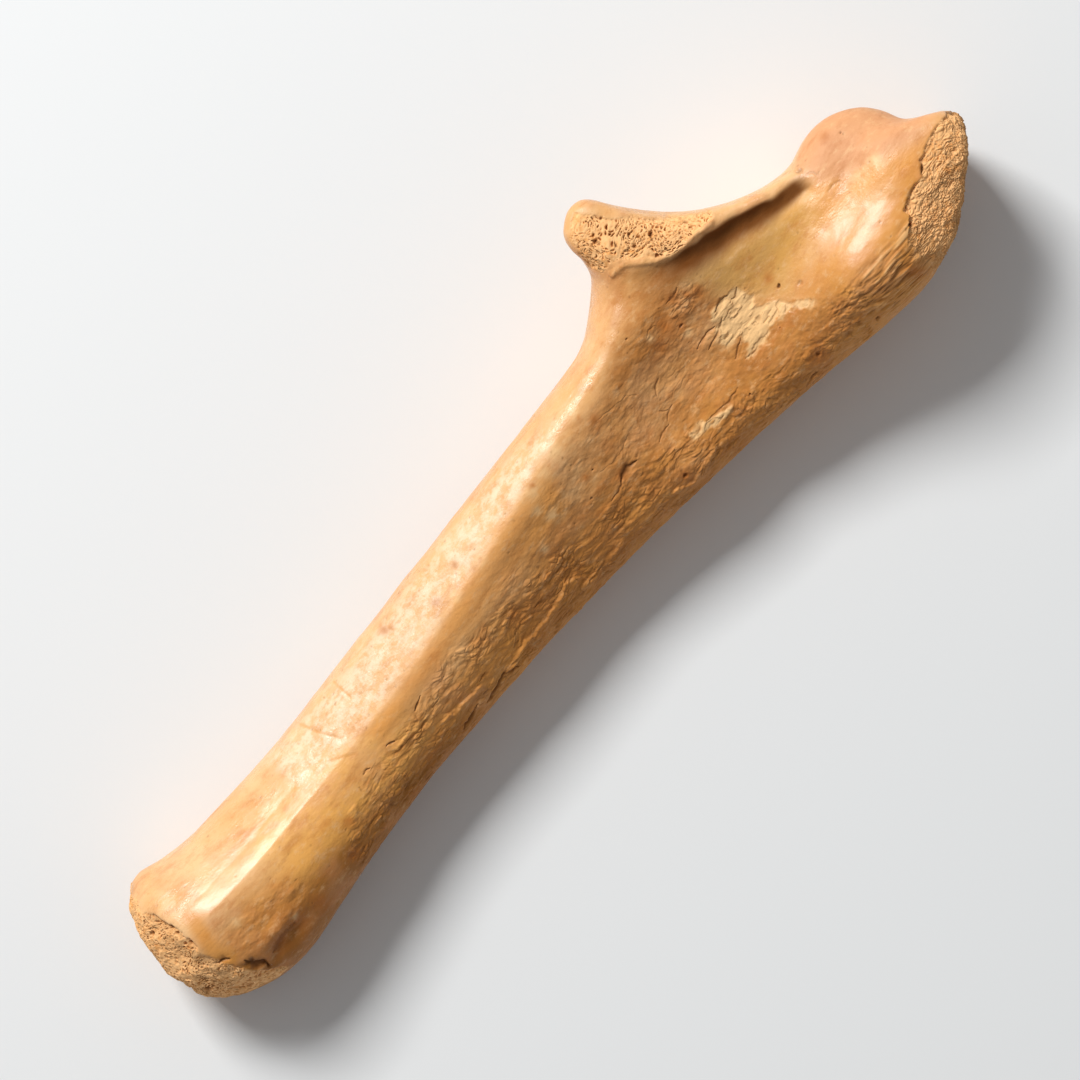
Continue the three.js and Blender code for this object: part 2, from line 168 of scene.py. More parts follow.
# Cracks as (points, half width, depth), with every mark in millimetres as the camera sees it
CRACKS = [
    ([(9, -4.7), (11, -4.5), (13, -4.1), (14.2, -3.4)], 0.2, 0.35),
    ([(13.6, -3.6), (15, -2.8), (17, -2.3), (18, -2.6), (19.4, -3)], 0.42, 0.7),
    ([(-51, -13.4), (-47.4, -12.9), (-44.6, -12)], 0.3, 0.6),
    ([(-43, -13.6), (-39, -12.8), (-35.4, -12), (-32, -13.4)], 0.26, 0.6),
    ([(-73.4, -3.8), (-72, -3.4), (-71, -3.6)], 0.26, 0.5),
    ([(-65, -3.2), (-64, -3.5), (-62.8, -3.8)], 0.28, 0.6),
    ([(-55, -2.9), (-53.6, -2.3), (-52, -1.7)], 0.34, 0.6),
    ([(-57.4, -6.6), (-54.6, -5.6)], 0.26, 0.35),
    ([(-51.6, -5), (-49, -4.9)], 0.24, 0.3),
    ([(-40.4, -9), (-38.2, -8.6)], 0.26, 0.4),
    ([(-30, -10), (-27.8, -9.6)], 0.22, 0.3),
    ([(33, 3.2), (34.5, 4.8), (36.6, 5.5)], 0.22, 0.3),
    ([(26, -3.9), (28, -3.2), (30, -3.1)], 0.22, 0.3),
    ([(30.2, -2.5), (31.6, -1.4), (34, -0.7)], 0.2, 0.25),
    ([(30.6, 0.4), (31.8, 0), (32.6, -0.6)], 0.24, 0.25),
    ([(36.4, -8.7), (39, -9.3), (43, -9.6), (46.4, -9.2)], 0.2, 0.35),
    ([(12, 1.2), (15, 0.7), (19, 0.8), (22, 2.2)], 0.16, 0.12),
    ([(20, 9.6), (24, 8.7), (28, 8.2), (31, 6.6)], 0.16, 0.14),
    ([(47.4, 3.6), (50, 3.9), (53.4, 3.8)], 0.22, 0.4),
    ([(48.4, 1.2), (51, 1.9), (54, 2.7), (56, 3.9)], 0.24, 0.4),
    ([(51, -4.5), (53.2, -3.3), (54.8, -2.6)], 0.26, 0.45),
    ([(52.4, -6.2), (54, -6.5), (56.4, -6.5)], 0.22, 0.3),
    ([(56, 5.9), (58.6, 6.5), (60.4, 6.1)], 0.28, 0.45),
    ([(60.4, 4.9), (61.6, 4.6), (63, 5.7)], 0.24, 0.4),
    ([(55, -0.9), (57.6, -0.7), (59.4, -1)], 0.16, 0.16),
    ([(41.4, 13.4), (43, 14.4), (44.6, 13.8)], 0.18, 0.2),
    ([(50, 15), (52, 14.6), (54, 15.4)], 0.35, 0.35),
    ([(-121.6, -11.2), (-120.5, -13), (-119.3, -14.6), (-118.6, -15.8)], 0.7, 1.3),
    ([(-126, -7), (-124.8, -7.3), (-123.6, -8.3)], 0.6, 1.1),
    ([(-116, -14.8), (-112, -13.8), (-108, -14.2)], 1, 0.45),
    ([(92, 10.6), (93.4, 9.6), (93.8, 8.2)], 0.3, 0.25),
    ([(92, 4.2), (94, 4.5), (95.6, 4), (96.4, 2.6)], 0.24, 0.25),
    ([(91, 12.4), (92.4, 12.2)], 0.5, 0.4),
    ([(101, -10.7), (103, -9.8), (105, -9.2), (107.4, -9.3)], 0.3, 0.5),
    ([(109, -8.4), (110, -7.9), (111, -7)], 0.36, 0.8),
    ([(112.8, -6.2), (115, -5.6), (117.4, -5.1)], 0.24, 0.4),
    ([(75, -15.2), (80, -16.6), (86, -17.4), (94, -18.4)], 0.22, 0.25),
]
# Pits as (x, y, radius, depth)
PITS = [
    (-132, -9, 1.2, 1.1), (-126.8, 0.6, 0.6, 0.7), (-126.8, 6.4, 0.9, 0.9), (-127.4, 4.2, 0.8, 0.7),
    (-130.4, 8.4, 0.7, 0.7), (49.9, 36.1, 0.8, 0.9), (50.4, 37.2, 0.4, 0.6), (51.9, 40.6, 0.4, 0.7),
    (59.3, 27.9, 0.8, 1.1), (66.5, 24, 0.8, 0.9), (54.4, 38.5, 0.5, 0.5), (45.2, 32.6, 0.5, 0.5),
    (56, 31.5, 0.6, 0.7), (57, 29.6, 0.6, 0.8), (54.5, 28.6, 0.6, 0.7), (62.2, 27.2, 0.5, 0.7),
    (98.9, -13.9, 0.7, 1.3), (69.4, -1, 0.6, 0.6), (72.8, -4.3, 0.8, 0.25), (60.9, -2.5, 1, 0.4),
    (38.2, 16.5, 0.5, 0.3), (24, -13.2, 0.8, 0.6), (47, -12.2, 0.4, 0.4), (6.4, -1, 0.4, 0.3),
    (11.4, 2.8, 0.4, 0.3), (48.4, 9.3, 0.7, 0.4), (64, -17.6, 1.1, 0.6), (78.6, -22.3, 0.8, 0.6),
    (104.2, 11.3, 0.4, 0.3), (103, 1.9, 0.35, 0.2), (-63, -5.8, 0.4, 0.2), (63, -7.2, 0.35, 0.2),
    (-88.4, -13.8, 1.4, 0.3),
]
# Small steps as (points, height): lit edges where the bone is higher behind them, shaded where lower
LEDGES = [
    ([(-82, -6.6), (-79, -6.4)], 0.3), ([(-73, -4.5), (-70.4, -4.3)], 0.25),
    ([(-64.4, -4.4), (-62, -4.9), (-58, -4.3)], 0.3), ([(-55.4, -3.8), (-52.6, -3.4)], 0.3),
    ([(-53, -8.8), (-51, -8.4), (-49.6, -9.2), (-46, -9.5), (-41, -9.7)], 0.7),
    ([(-39, -9.6), (-36, -9.1)], 0.3), ([(-32.4, -3.8), (-29, -3.4), (-26.4, -2.6)], 0.22),
    ([(-44, -2.4), (-40, -2.1), (-37, -2.3)], 0.18), ([(-31, -8.2), (-27, -8.3)], 0.2),
    (
        [
            (-35.4, -11.9), (-32, -11.6), (-27, -10.6), (-25, -11), (-20, -10.8), (-15, -10),
            (-12, -8.9), (-8, -9.4),
        ],
        0.9,
    ),
    ([(-10, -11), (-8, -12.2), (-4.6, -12)], 0.35), ([(-3, -12.4), (1, -12.4), (4, -11.8)], 0.35),
    ([(5, -10.4), (12, -10), (17, -9.6), (19.4, -9.7)], 0.25), ([(-1, -4.6), (5, -5), (10, -4.8)], 0.15),
    ([(19, -13.5), (22, -14.4), (25, -15), (28, -14.3), (33, -13.8)], 0.8),
    ([(33.4, -14.4), (37, -14.2), (40, -15)], 0.35), ([(14, -4.4), (17, -3.8), (19.6, -5)], 0.3),
    ([(47.4, 3.2), (50, 3.2), (53.4, 3.2)], 0.3), ([(48.2, 0.7), (51, 1.2), (54, 1.9)], 0.25),
    ([(45, 7), (47.6, 8), (50.6, 6.8)], 0.25), ([(36, 12), (40, 10.8)], 0.2),
    ([(41, 12.4), (43.4, 13.4)], 0.25), ([(38.6, 14.6), (41, 14.2)], 0.2),
    ([(56.4, 5), (60, 5.2)], 0.25), ([(60.6, 4.1), (63.6, 4.2)], 0.25), ([(51, -5.3), (54.6, -3.8)], 0.25),
    ([(57, -7.4), (59.6, -9.2)], 0.22), ([(65, -5.4), (67.6, -7.2)], 0.22),
    ([(70, -10), (72.4, -10.6)], 0.22),
    ([(59, -14), (61.6, -13.8)], 0.22), ([(67, -14.2), (72, -15), (76, -17)], 0.3),
    ([(83, -16.6), (88, -17.6), (94, -18)], 0.25), ([(53, 7.4), (55.6, 7.6)], 0.2),
    ([(-119.6, -2), (-117.4, -1.6)], 0.14), ([(-116, -4), (-113, -4.6)], 0.16),
]
# Scratches as (points, half width)
SCRATCHES = [
    ([(-74, 14.5), (-72.6, 10), (-70.5, 5.5)], 0.35),
    ([(-62, 15), (-62.2, 10)], 0.3),
    ([(-76, 4), (-71, 1)], 0.3),
]
CRACK_SHARE = 0.75
SCRATCH_DEPTH = 0.1

# Grain of the bare spongy faces: cell sizes along X, Y and Z, and depth of the pores
SPONGE_CELL = [1.8, 1, 1.05]
FACET_CELL = [1.35, 1.1, 1.1]
PORE_DEPTH = 0.95
WRIST_LUMPS = 0.6
# The coronoid facet's grain runs across the bone, and is finest near its tip
SLANT = np.array([[0.74, -0.67], [0.67, 0.74]])
FACET_TIP_Y = 38

# Grain of the rough strip, as sizes along X, Y and Z and as heights
FOLD_SIZE = (6, 2.2, 2.2)
FOLD_HEIGHT = 0.3
RIDGE_SIZE = (3.2, 1.1, 1.1)
RIDGE_HEIGHT = 0.16
FIBRE_SIZE = (1.3, 0.6, 0.6)
FIBRE_HEIGHT = 0.1
FLAKE_SIZE = (2.4, 1.2, 1.2)
FLAKE_HEIGHT = 0.4
LEATHER_HEIGHT = 0.13
COMB_SIZE = (5.5, 0.6, 0.6)
COMB_HEIGHT = 0.22
SPECK_SPACING = (2.6, 1.9, 1.9)
SPECK_DEPTH = 0.08

# Colours, as linear light
PEACH = (0.8, 0.41, 0.15)
PALE_PEACH = (0.86, 0.52, 0.25)
ORANGE = (0.7, 0.285, 0.05)
RUST = (0.52, 0.17, 0.035)
BROWN = (0.52, 0.205, 0.05)
YELLOW = (0.68, 0.36, 0.085)
GOLD = (0.94, 0.48, 0.12)
AMBER = (0.84, 0.36, 0.085)
# Painted sheen
SHEEN = (0.95, 0.72, 0.5)
PINK = (0.74, 0.34, 0.15)
# The cream patch, and the painted highlight along the comb ridges
CREAM_AND_HIGHLIGHT = (0.95, 0.61, 0.29)
SPONGE = (0.98, 0.56, 0.25)
SPONGE_DEEP = (0.86, 0.4, 0.13)
SHADED = (0.16, 0.047, 0.007)
# Dark brown of the back edge of the shaft's wrist half, and the painted shade under the elbow face
DEEP_BROWN = (0.3, 0.11, 0.02)
# Painted highlights
GLINT = (0.93, 0.6, 0.29)
# Painted shade in the spongy bone's pores and in the other hollows
PORE_SHADE = (0.26, 0.1, 0.025)
CREVICE_SHADE = (0.13, 0.045, 0.012)

# Roughness of the two smoothest places, and of the places where the coat is matt
POLISHED = 0.33
MATT_PLACES = {"spongy": 0.8, "rough": 0.5, "pink": 0.6, "cream": 0.6, "yellow": 0.55, "shade": 0.8}

TABLE_COLOUR = (0.808, 0.821, 0.834)
TABLE_ROUGHNESS = 0.75

# Camera, in millimetres and degrees
VIEW_CENTRE = Vector((-8.07, 1.47, 20))
VIEW_WIDTH = 240
VIEW_DISTANCE = 1000
VIEW_TURN = -48.65

# Light, in millimetres and degrees
KEY_TOWARDS = Vector((0.1, 1, 1.02))
KEY_DISTANCE = 1900
KEY_SIZE = 620
KEY_POWER = 37.5
KEY_COLOUR = (1, 1, 0.985)
SKY_STRENGTH = 0.27
TABLE_SIZE = 6000


def map_origin():
    """The map's zero, in Blender's metres."""
    low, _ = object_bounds()
    return Vector((low.x, low.y, 0)) + MAP_FROM_CORNER * MM


def fine_mesh(node):
    """A dense copy of the bone's solid with its flat facets smoothed away."""
    piece = node.copy()
    piece.data = node.data.copy()
    piece.name = "bone"
    piece.data.name = "bone"
    piece.parent = None
    bpy.context.scene.collection.objects.link(piece)
    shape = bmesh.new()
    shape.from_mesh(piece.data)
    bmesh.ops.remove_doubles(shape, verts=shape.verts, dist=1e-6)
    shape.to_mesh(piece.data)
    shape.free()
    bpy.context.view_layer.objects.active = piece
    rounded = piece.modifiers.new("rounded", "SUBSURF")
    rounded.levels = 2
    remesh = piece.modifiers.new("remesh", "REMESH")
    remesh.mode = "VOXEL"
    remesh.voxel_size = VOXEL * MM
    smooth = piece.modifiers.new("smooth", "SMOOTH")
    smooth.iterations = FACET_SMOOTHING
    smooth.factor = 0.5
    done = bpy.data.meshes.new_from_object(
        piece.evaluated_get(bpy.context.evaluated_depsgraph_get())
    )
    piece.modifiers.clear()
    piece.data = done
    piece.data.name = "bone"
    piece.data.materials.clear()
    return piece


def scrambled(cells, seed):
    """A steady pseudo-random number from 0 to 1 for each whole-number cell."""
    x, y, z = (cells[:, n].astype(np.int64) for n in range(3))
    mixed = (x * 73856093) ^ (y * 19349663) ^ (z * 83492791) ^ (seed * 2654435761)
    mixed = (mixed ^ (mixed >> 13)) * 1274126177
    mixed = mixed ^ (mixed >> 16)
    return (mixed & 0xFFFFFF) / float(0xFFFFFF)


def noise(points, seed):
    """Smooth noise from -1 to 1 with features about one unit wide."""
    cells = np.floor(points)
    t = points - cells
    t = t * t * (3 - 2 * t)
    total = np.zeros(len(points))
    for corner in np.ndindex(2, 2, 2):
        weight = np.prod(np.where(corner, t, 1 - t), axis=1)
        total += weight * scrambled(cells + corner, seed)
    return 2 * total - 1


def fractal(points, size, seed, octaves=3):
    """Noise with finer and weaker layers, in features about size millimetres wide."""
    total = np.zeros(len(points))
    for octave in range(octaves):
        total += noise(points / np.asarray(size) * 2**octave, seed + octave) / 2**octave
    return total


def wandering(points, size, reach, seed):
    """The points, each moved up to reach in a smooth random way."""
    moves = [noise(points / size, seed + n) for n in range(3)]
    return points + reach * np.stack(moves, axis=1)


def cell_walls(points, seed):
    """Distances to the nearest and second nearest of scattered points, and the nearest one's number."""
    cells = np.floor(points)
    near = np.full(len(points), 9.0)
    second = near.copy()
    number = np.zeros(len(points))
    for step in np.ndindex(3, 3, 3):
        cell = cells + np.array(step) - 1
        jitter = np.stack([scrambled(cell, seed + n) for n in range(3)], axis=1)
        away = np.linalg.norm(cell + jitter - points, axis=1)
        closer = away < near
        second = np.where(closer, near, np.minimum(second, away))
        number = np.where(closer, scrambled(cell, seed + 3), number)
        near = np.where(closer, away, near)
    return near, second, number


def ease(value, low, high):
    """0 at low and 1 at high, with a soft ramp between them."""
    t = np.clip((value - low) / (high - low), 0, 1)
    return t * t * (3 - 2 * t)


def segment_distance(x, y, start, end):
    run = np.subtract(end, start)
    t = np.clip(((x - start[0]) * run[0] + (y - start[1]) * run[1]) / (run @ run), 0, 1)
    return np.hypot(x - start[0] - t * run[0], y - start[1] - t * run[1])


def line_distance(x, y, line):
    away = [segment_distance(x, y, a, b) for a, b in zip(line, line[1:])]
    return np.min(away, axis=0)


def inside(x, y, outline):
    """Distance in from an outline, negative outside it."""
    closed = list(outline) + [outline[0]]
    away = line_distance(x, y, closed)
    crossings = np.zeros(len(x), int)
    for (ax, ay), (bx, by) in zip(closed, closed[1:]):
        if ay == by:
            continue
        spans = (ay > y) != (by > y)
        crossings += spans & (x < (bx - ax) * (y - ay) / (by - ay) + ax)
    return np.where(crossings % 2, away, -away)


def seen_from_above(points):
    """Where the camera sees each point on the plane through the middle of the bone."""
    scale = VIEW_DISTANCE / (VIEW_DISTANCE + VIEW_CENTRE.z - points[:, 2])
    centre = np.array(VIEW_CENTRE[:2])
    seen = centre + (points[:, :2] - centre) * scale[:, None]
    return seen[:, 0], seen[:, 1]


def growth_faces(points, normals):
    """How far each point is on the bare wrist face, the bare elbow face and the bare coronoid facet."""
    x, y, z = points.T
    u, v = seen_from_above(points)
    across = y - WRIST_FACE["y"]
    rise = z - WRIST_FACE["z"] - WRIST_FACE["twist"] * np.minimum(across, 0)
    upper = WRIST_FACE["slope"] * (rise + np.hypot(rise, WRIST_FACE["bend"])) / 2
    lower = WRIST_FACE["lower"] * np.minimum(rise, 0) ** 2
    corner = np.where(across > 0, WRIST_FACE["corner_front"], WRIST_FACE["corner_back"])
    face_x = WRIST_FACE["tip"] + upper + lower + WRIST_FACE["bow"] * across**2 + corner * across**4
    ragged = fractal(points, 2.5, seed=11, octaves=2)
    wrist = ease(face_x - x + 0.3 * ragged, -0.9, -0.45)
    under = ease(normals @ np.array([0.6, -0.8, 0]), 0.3, 0.5) * ease(x, 101, 105)
    lip = ease(inside(u, v, ELBOW_FACE) + 0.5 * ragged, -0.12, 0.18) * ease(u + 2.2 * ragged, 92, 100)
    elbow = np.maximum(lip, under) * (z > 6)
    top = ease(normals[:, 2], 0.1, 0.4) * (z > 28)
    coronoid = ease(inside(u, v, CORONOID_FACET) + 0.45 * ragged, -0.3, 0.5) * top
    return wrist, elbow, coronoid


def sponge_detail(points, v, elbow, coronoid):
    """Relief of bare spongy bone and the painted shade in its pores and gaps, with a grain that runs into
    the bone.
    """
    slanted = coronoid > 0.5
    crumbly = elbow > 0.5
    turned = points.copy()
    turned[slanted, :2] = points[slanted, :2] @ SLANT
    cell = np.where(slanted[:, None], FACET_CELL, SPONGE_CELL)
    cell = cell * np.where(v > FACET_TIP_Y, 0.7, 1)[:, None]
    cell = cell * (1 + 0.3 * noise(points / 5, seed=41))[:, None]
    bent = wandering(turned, 1.5, 0.4, seed=43)
    near, second, number = cell_walls(bent / cell, seed=51)
    pore = ease(second - near, 0.19, 0.48) * ease(number, 0.08, 0.4)
    gap = 1 - ease(second - near, 0.02, 0.2)
    patchy = np.clip(0.7 + 0.5 * noise(points / 3.5, seed=61), 0.15, 1.2)
    patchy = patchy * np.where(v > FACET_TIP_Y + 3, 0.35, 1) * np.where(crumbly, 0.75, 1)
    crumbs = fractal(turned, (1.6, 0.7, 0.7), seed=65, octaves=2)
    lumps = fractal(points, (4.2, 2.4, 2.4), seed=71, octaves=2)
    porous = -0.2 + 0.18 * lumps + 0.14 * crumbs - PORE_DEPTH * pore * patchy
    domes = ease(second - near, 0, 0.4) * number
    coarse = -0.4 + 0.35 * lumps + 0.16 * crumbs + 0.25 * domes - 0.18 * gap
    relief = np.where(crumbly, coarse, porous)
    # Painted shade in the gaps between crumbs, in low lumps and in the pores
    hollows = 0.5 * gap * patchy + 0.4 * ease(-lumps, 0.6, 1.2)
    cavity_shade = np.where(crumbly, hollows, 0.95 * pore * patchy)
    return relief, cavity_shade


def ledge(u, v, line, height):
    """A step along a line that fades out behind it and at its ends."""
    xs, ys = np.transpose(line)
    behind = np.interp(u, xs, ys) - v
    ends = ease(u, xs[0] - 0.8, xs[0] + 1.2) * ease(-u, -xs[-1] - 0.8, -xs[-1] + 1.2)
    return 0.75 * height * ends * ease(behind, -0.32, 0.32) * np.exp(-np.maximum(behind, 0) / 2.2)


class Surface:
    """The bone's fine points, with the relief and the painted shade of its hollows gathered so far."""

    def __init__(self, points, normals):
        self.points = points
        self.normals = normals
        self.u, self.v = seen_from_above(points)
        self.top = ease(normals[:, 2], -0.1, 0.3)
        self.wrist, self.elbow, self.coronoid = growth_faces(points, normals)
        self.spongy = np.maximum(np.maximum(self.wrist, self.elbow), self.coronoid)
        self.whole = 1 - self.spongy
        self.relief = np.zeros(len(points))
        self.cavity_shade = np.zeros(len(points))
        wander = 0.4 * noise(points / 2, seed=181)
        fine = 0.22 * noise(points / 0.8, seed=185)
        self.wander = wander
        self.bent_u = self.u + wander + fine
        self.bent_v = self.v + 0.5 * wander + fine

    # Paints shade into hollows, keeping the darker amount
    def paint_shade(self, amount, chosen=slice(None)):
        self.cavity_shade[chosen] = np.maximum(self.cavity_shade[chosen], amount)

    def within(self, outline):
        return inside(self.u, self.v, outline)

    def near_line(self, line):
        return line_distance(self.u, self.v, line)

    def patch(self, outline, low, high):
        """1 inside an outline of the whole bone's upper side, with a ramp along its edge."""
        return ease(self.within(outline), low, high) * self.top * self.whole

    def spots(self, marks):
        """Soft round marks at (x, y, radius)."""
        away = (np.hypot(self.bent_u - x, self.bent_v - y) / radius for x, y, radius in marks)
        return np.max([np.exp(-(d**2)) for d in away], axis=0)


def add_swellings(bone):
    """Broad waves of the surface, the placed swellings and the soft crest."""
    bone.relief += 0.16 * fractal(bone.points, 17, seed=21)
    bone.relief += 0.08 * fractal(bone.points, (6, 3.5, 3.5), seed=31)
    for x, y, length, width, height in SWELLINGS:
        away = ((bone.u - x) / length) ** 2 + ((bone.v - y) / width) ** 2
        bone.relief += height * bone.top * np.exp(-away)
    crest = np.maximum(1 - bone.near_line(CREST) / CREST_HALF_WIDTH, 0)
    fading = ease(-bone.u, -16, 4) * ease(bone.u, -124, -118)
    bone.relief += CREST_HEIGHT * bone.top * crest * fading


def add_sponge(bone):
    """Pores and crumbs of the three bare spongy faces, with painted shade in the pores and just under the
    wrist face's rim.
    """
    bare = np.flatnonzero(bone.spongy > 0.01)
    share = bone.spongy[bare]
    sponge, pores = sponge_detail(
        bone.points[bare], bone.v[bare], bone.elbow[bare], bone.coronoid[bare]
    )
    bone.relief[bare] = bone.relief[bare] * (1 - share) + sponge * share
    bone.cavity_shade[bare] = share * pores
    bone.relief += WRIST_LUMPS * bone.wrist * fractal(bone.points, (6, 4, 4), seed=77, octaves=2)
    _, y, z = bone.points.T
    # A sunken band of the wrist face just under its rim, with painted shade in it
    under_rim = bone.wrist * ease(z, 27.5, 30.5) * ease(y, -9, -4)
    bone.relief -= 0.45 * under_rim
    bone.paint_shade(under_rim * (0.3 + 0.2 * noise(bone.points / 2, seed=75)))


def add_bark(bone):
    """Flaky relief of the rough strip, weaker on the flank. Returns where both are."""
    points = bone.points
    bark = np.maximum(bone.within(BARK), bone.within(DIMPLED) - 0.4)
    bark = ease(bark + 1.6 * noise(points / 4, seed=81), -0.8, 1.6) * bone.top * bone.whole
    flank = np.maximum(bone.within(FLANK), bone.within(WRIST_BACK) - 1)
    flank = ease(flank + 2 * noise(points / 7, seed=85), -2, 5) * bone.top * bone.whole

    rough = np.flatnonzero(np.maximum(bark, flank) > 0.01)
    grain = wandering(points[rough], 5, 1.2, seed=91)
    folds = np.abs(fractal(grain, FOLD_SIZE, seed=101))
    ridges = fractal(grain, RIDGE_SIZE, seed=105)
    fibres = fractal(grain, FIBRE_SIZE, seed=111, octaves=2)
    near, second, number = cell_walls(grain / FLAKE_SIZE, seed=107)
    flakes = (number - 0.4) * ease(second - near, 0, 0.22)
    patchy = ease(fractal(points[rough], (7, 4, 4), seed=115, octaves=2), -0.5, 0.7)
    strong = bark[rough] * (0.5 + 0.5 * patchy)
    weak = np.maximum(strong, 0.3 * flank[rough] * (0.3 + 0.7 * patchy))
    bone.relief[rough] += weak * (
        FOLD_HEIGHT * np.minimum(folds, 0.6)
        + RIDGE_HEIGHT * ridges
        + FIBRE_HEIGHT * fibres
        + FLAKE_HEIGHT * flakes
    )
    leathery = fractal(points[rough], (2.4, 1.7, 1.7), seed=117)
    bone.relief[rough] += LEATHER_HEIGHT * flank[rough] * leathery
    # Painted shade in the creases, under the ridges and in the gaps between flakes
    creases = ease(-folds, -0.12, 0) * patchy
    gaps = ease(near - second, -0.12, 0) * ease(number, 0.3, 0.7)
    bone.paint_shade(strong * (0.4 * creases + 0.45 * ease(-ridges, 0.3, 0.9)), rough)
    bone.paint_shade(0.5 * weak * gaps, rough)
    return bark, flank


def add_combing(bone):
    """Fine ridges that run into the elbow's growth face. Returns their place and a painted highlight along
    their tops.
    """
    ragged = 1.5 * noise(bone.points / 4, seed=121)
    combed = ease(bone.within(COMBED) + ragged, -1.5, 2.5) * bone.top * bone.whole
    lines = fractal(wandering(bone.points, 4, 0.35, seed=131), COMB_SIZE, seed=141, octaves=2)
    waves = fractal(bone.points, (5, 1.6, 1.6), seed=145, octaves=2)
    bone.relief += COMB_HEIGHT * combed * (lines + waves)
    # Painted shade in the grooves between the ridges
    bone.paint_shade(0.6 * combed * ease(-lines, 0.2, 0.8))
    # A painted highlight along the ridges' tops
    return combed, 0.6 * combed * ease(lines, 0.15, 0.8) * ease(bone.u, 76, 86)


def add_cream_flakes(bone):
    """The pale patch with thin plates that stand off. Returns where it is."""
    edge = 1.5 * fractal(bone.points, (3.5, 1.8, 1.8), seed=151)
    patch = np.maximum(bone.within(CREAM_PATCH), bone.within(PALE_FLAKES) - 0.6)
    cream = ease(patch + edge, -0.4, 1) * bone.top
    plates = fractal(wandering(bone.points, 3, 0.8, seed=161), (3.6, 1.3, 1.3), seed=171)
    bone.relief += cream * (0.2 * ease(plates, -0.15, 0.1) + 0.12 * plates - 0.12)
    # Painted shade along the edges of the plates
    bone.paint_shade(0.4 * cream * ease(-np.abs(plates + 0.05), -0.09, 0))
    return cream


def add_marks(bone):
    """Cracks, pits, small steps and scratches at their own places. Returns the scratches."""
    for line, width, depth in CRACKS:
        ends = [np.hypot(bone.u - x, bone.v - y) for x, y in (line[0], line[-1])]
        taper = 0.3 + 0.8 * ease(np.minimum(*ends), 0, 1.8)
        swelling = width * (1 + 1.4 * bone.wander) * taper
        away = line_distance(bone.bent_u, bone.bent_v, line) / swelling
        groove = np.exp(-(away**2)) * bone.top
        bone.relief -= CRACK_SHARE * depth * groove
        # Painted shade in the crack
        bone.paint_shade(groove * min(1, 1.4 * depth))
    for x, y, radius, depth in PITS:
        away = np.hypot(bone.bent_u - x, 1.2 * (bone.bent_v - y)) * (1 + 0.6 * bone.wander)
        hole = ease(-away, -radius, -0.2 * radius) * bone.top
        bone.relief -= depth * hole
        # Painted shade in the pit
        bone.paint_shade(hole * min(1, 1.1 * depth / radius))
    for line, height in LEDGES:
        bone.relief += ledge(bone.bent_u, bone.bent_v, line, height) * bone.top * bone.whole
    scratches = np.zeros(len(bone.points))
    for line, width in SCRATCHES:
        away = line_distance(bone.u, bone.v + 0.3 * bone.wander, line) / width
        scratches = np.maximum(scratches, np.exp(-(away**2)) * bone.top)
    bone.relief -= SCRATCH_DEPTH * scratches
    return scratches


def add_rim_channel(bone):
    """The shaded channel under the notch's rim and the lip over it. Returns the shade."""
    along = ease(bone.u, 46, 60) * ease(-bone.u, -93, -88)
    foot = bone.near_line(RIM_FOOT) / CHANNEL_HALF_WIDTH
    bone.relief -= CHANNEL_DEPTH * along * np.exp(-(foot**2)) * bone.top
    lip = line_distance(bone.bent_u, bone.bent_v, LIP) / LIP_HALF_WIDTH
    bone.relief += LIP_HEIGHT * np.exp(-(lip**2)) * bone.top
    foot_x, foot_y = np.transpose(RIM_FOOT)
    below = np.interp(bone.u, foot_x, foot_y) - bone.v + 0.5 * noise(bone.points / 3, seed=183)
    reach_x, reach = np.transpose(SHADE_REACH)
    fading = ease(-below / np.interp(bone.u, reach_x, reach), -1.1, -0.25)
    return along * ease(below, -2.6, -1.2) * fading * bone.top * bone.whole


def add_specks(bone, bark):
    """Tiny scattered holes in the smooth surface, with painted shade in them."""
    smooth = np.flatnonzero((bone.whole > 0.9) & (bark < 0.5))
    bent = wandering(bone.points[smooth], 1, 0.35, seed=187)
    near, _, number = cell_walls(bent / SPECK_SPACING, seed=191)
    speck = ease(-near, -0.08 - 0.14 * number, -0.03) * (number > 0.62)
    bone.relief[smooth] -= SPECK_DEPTH * speck
    bone.paint_shade(0.5 * speck, smooth)


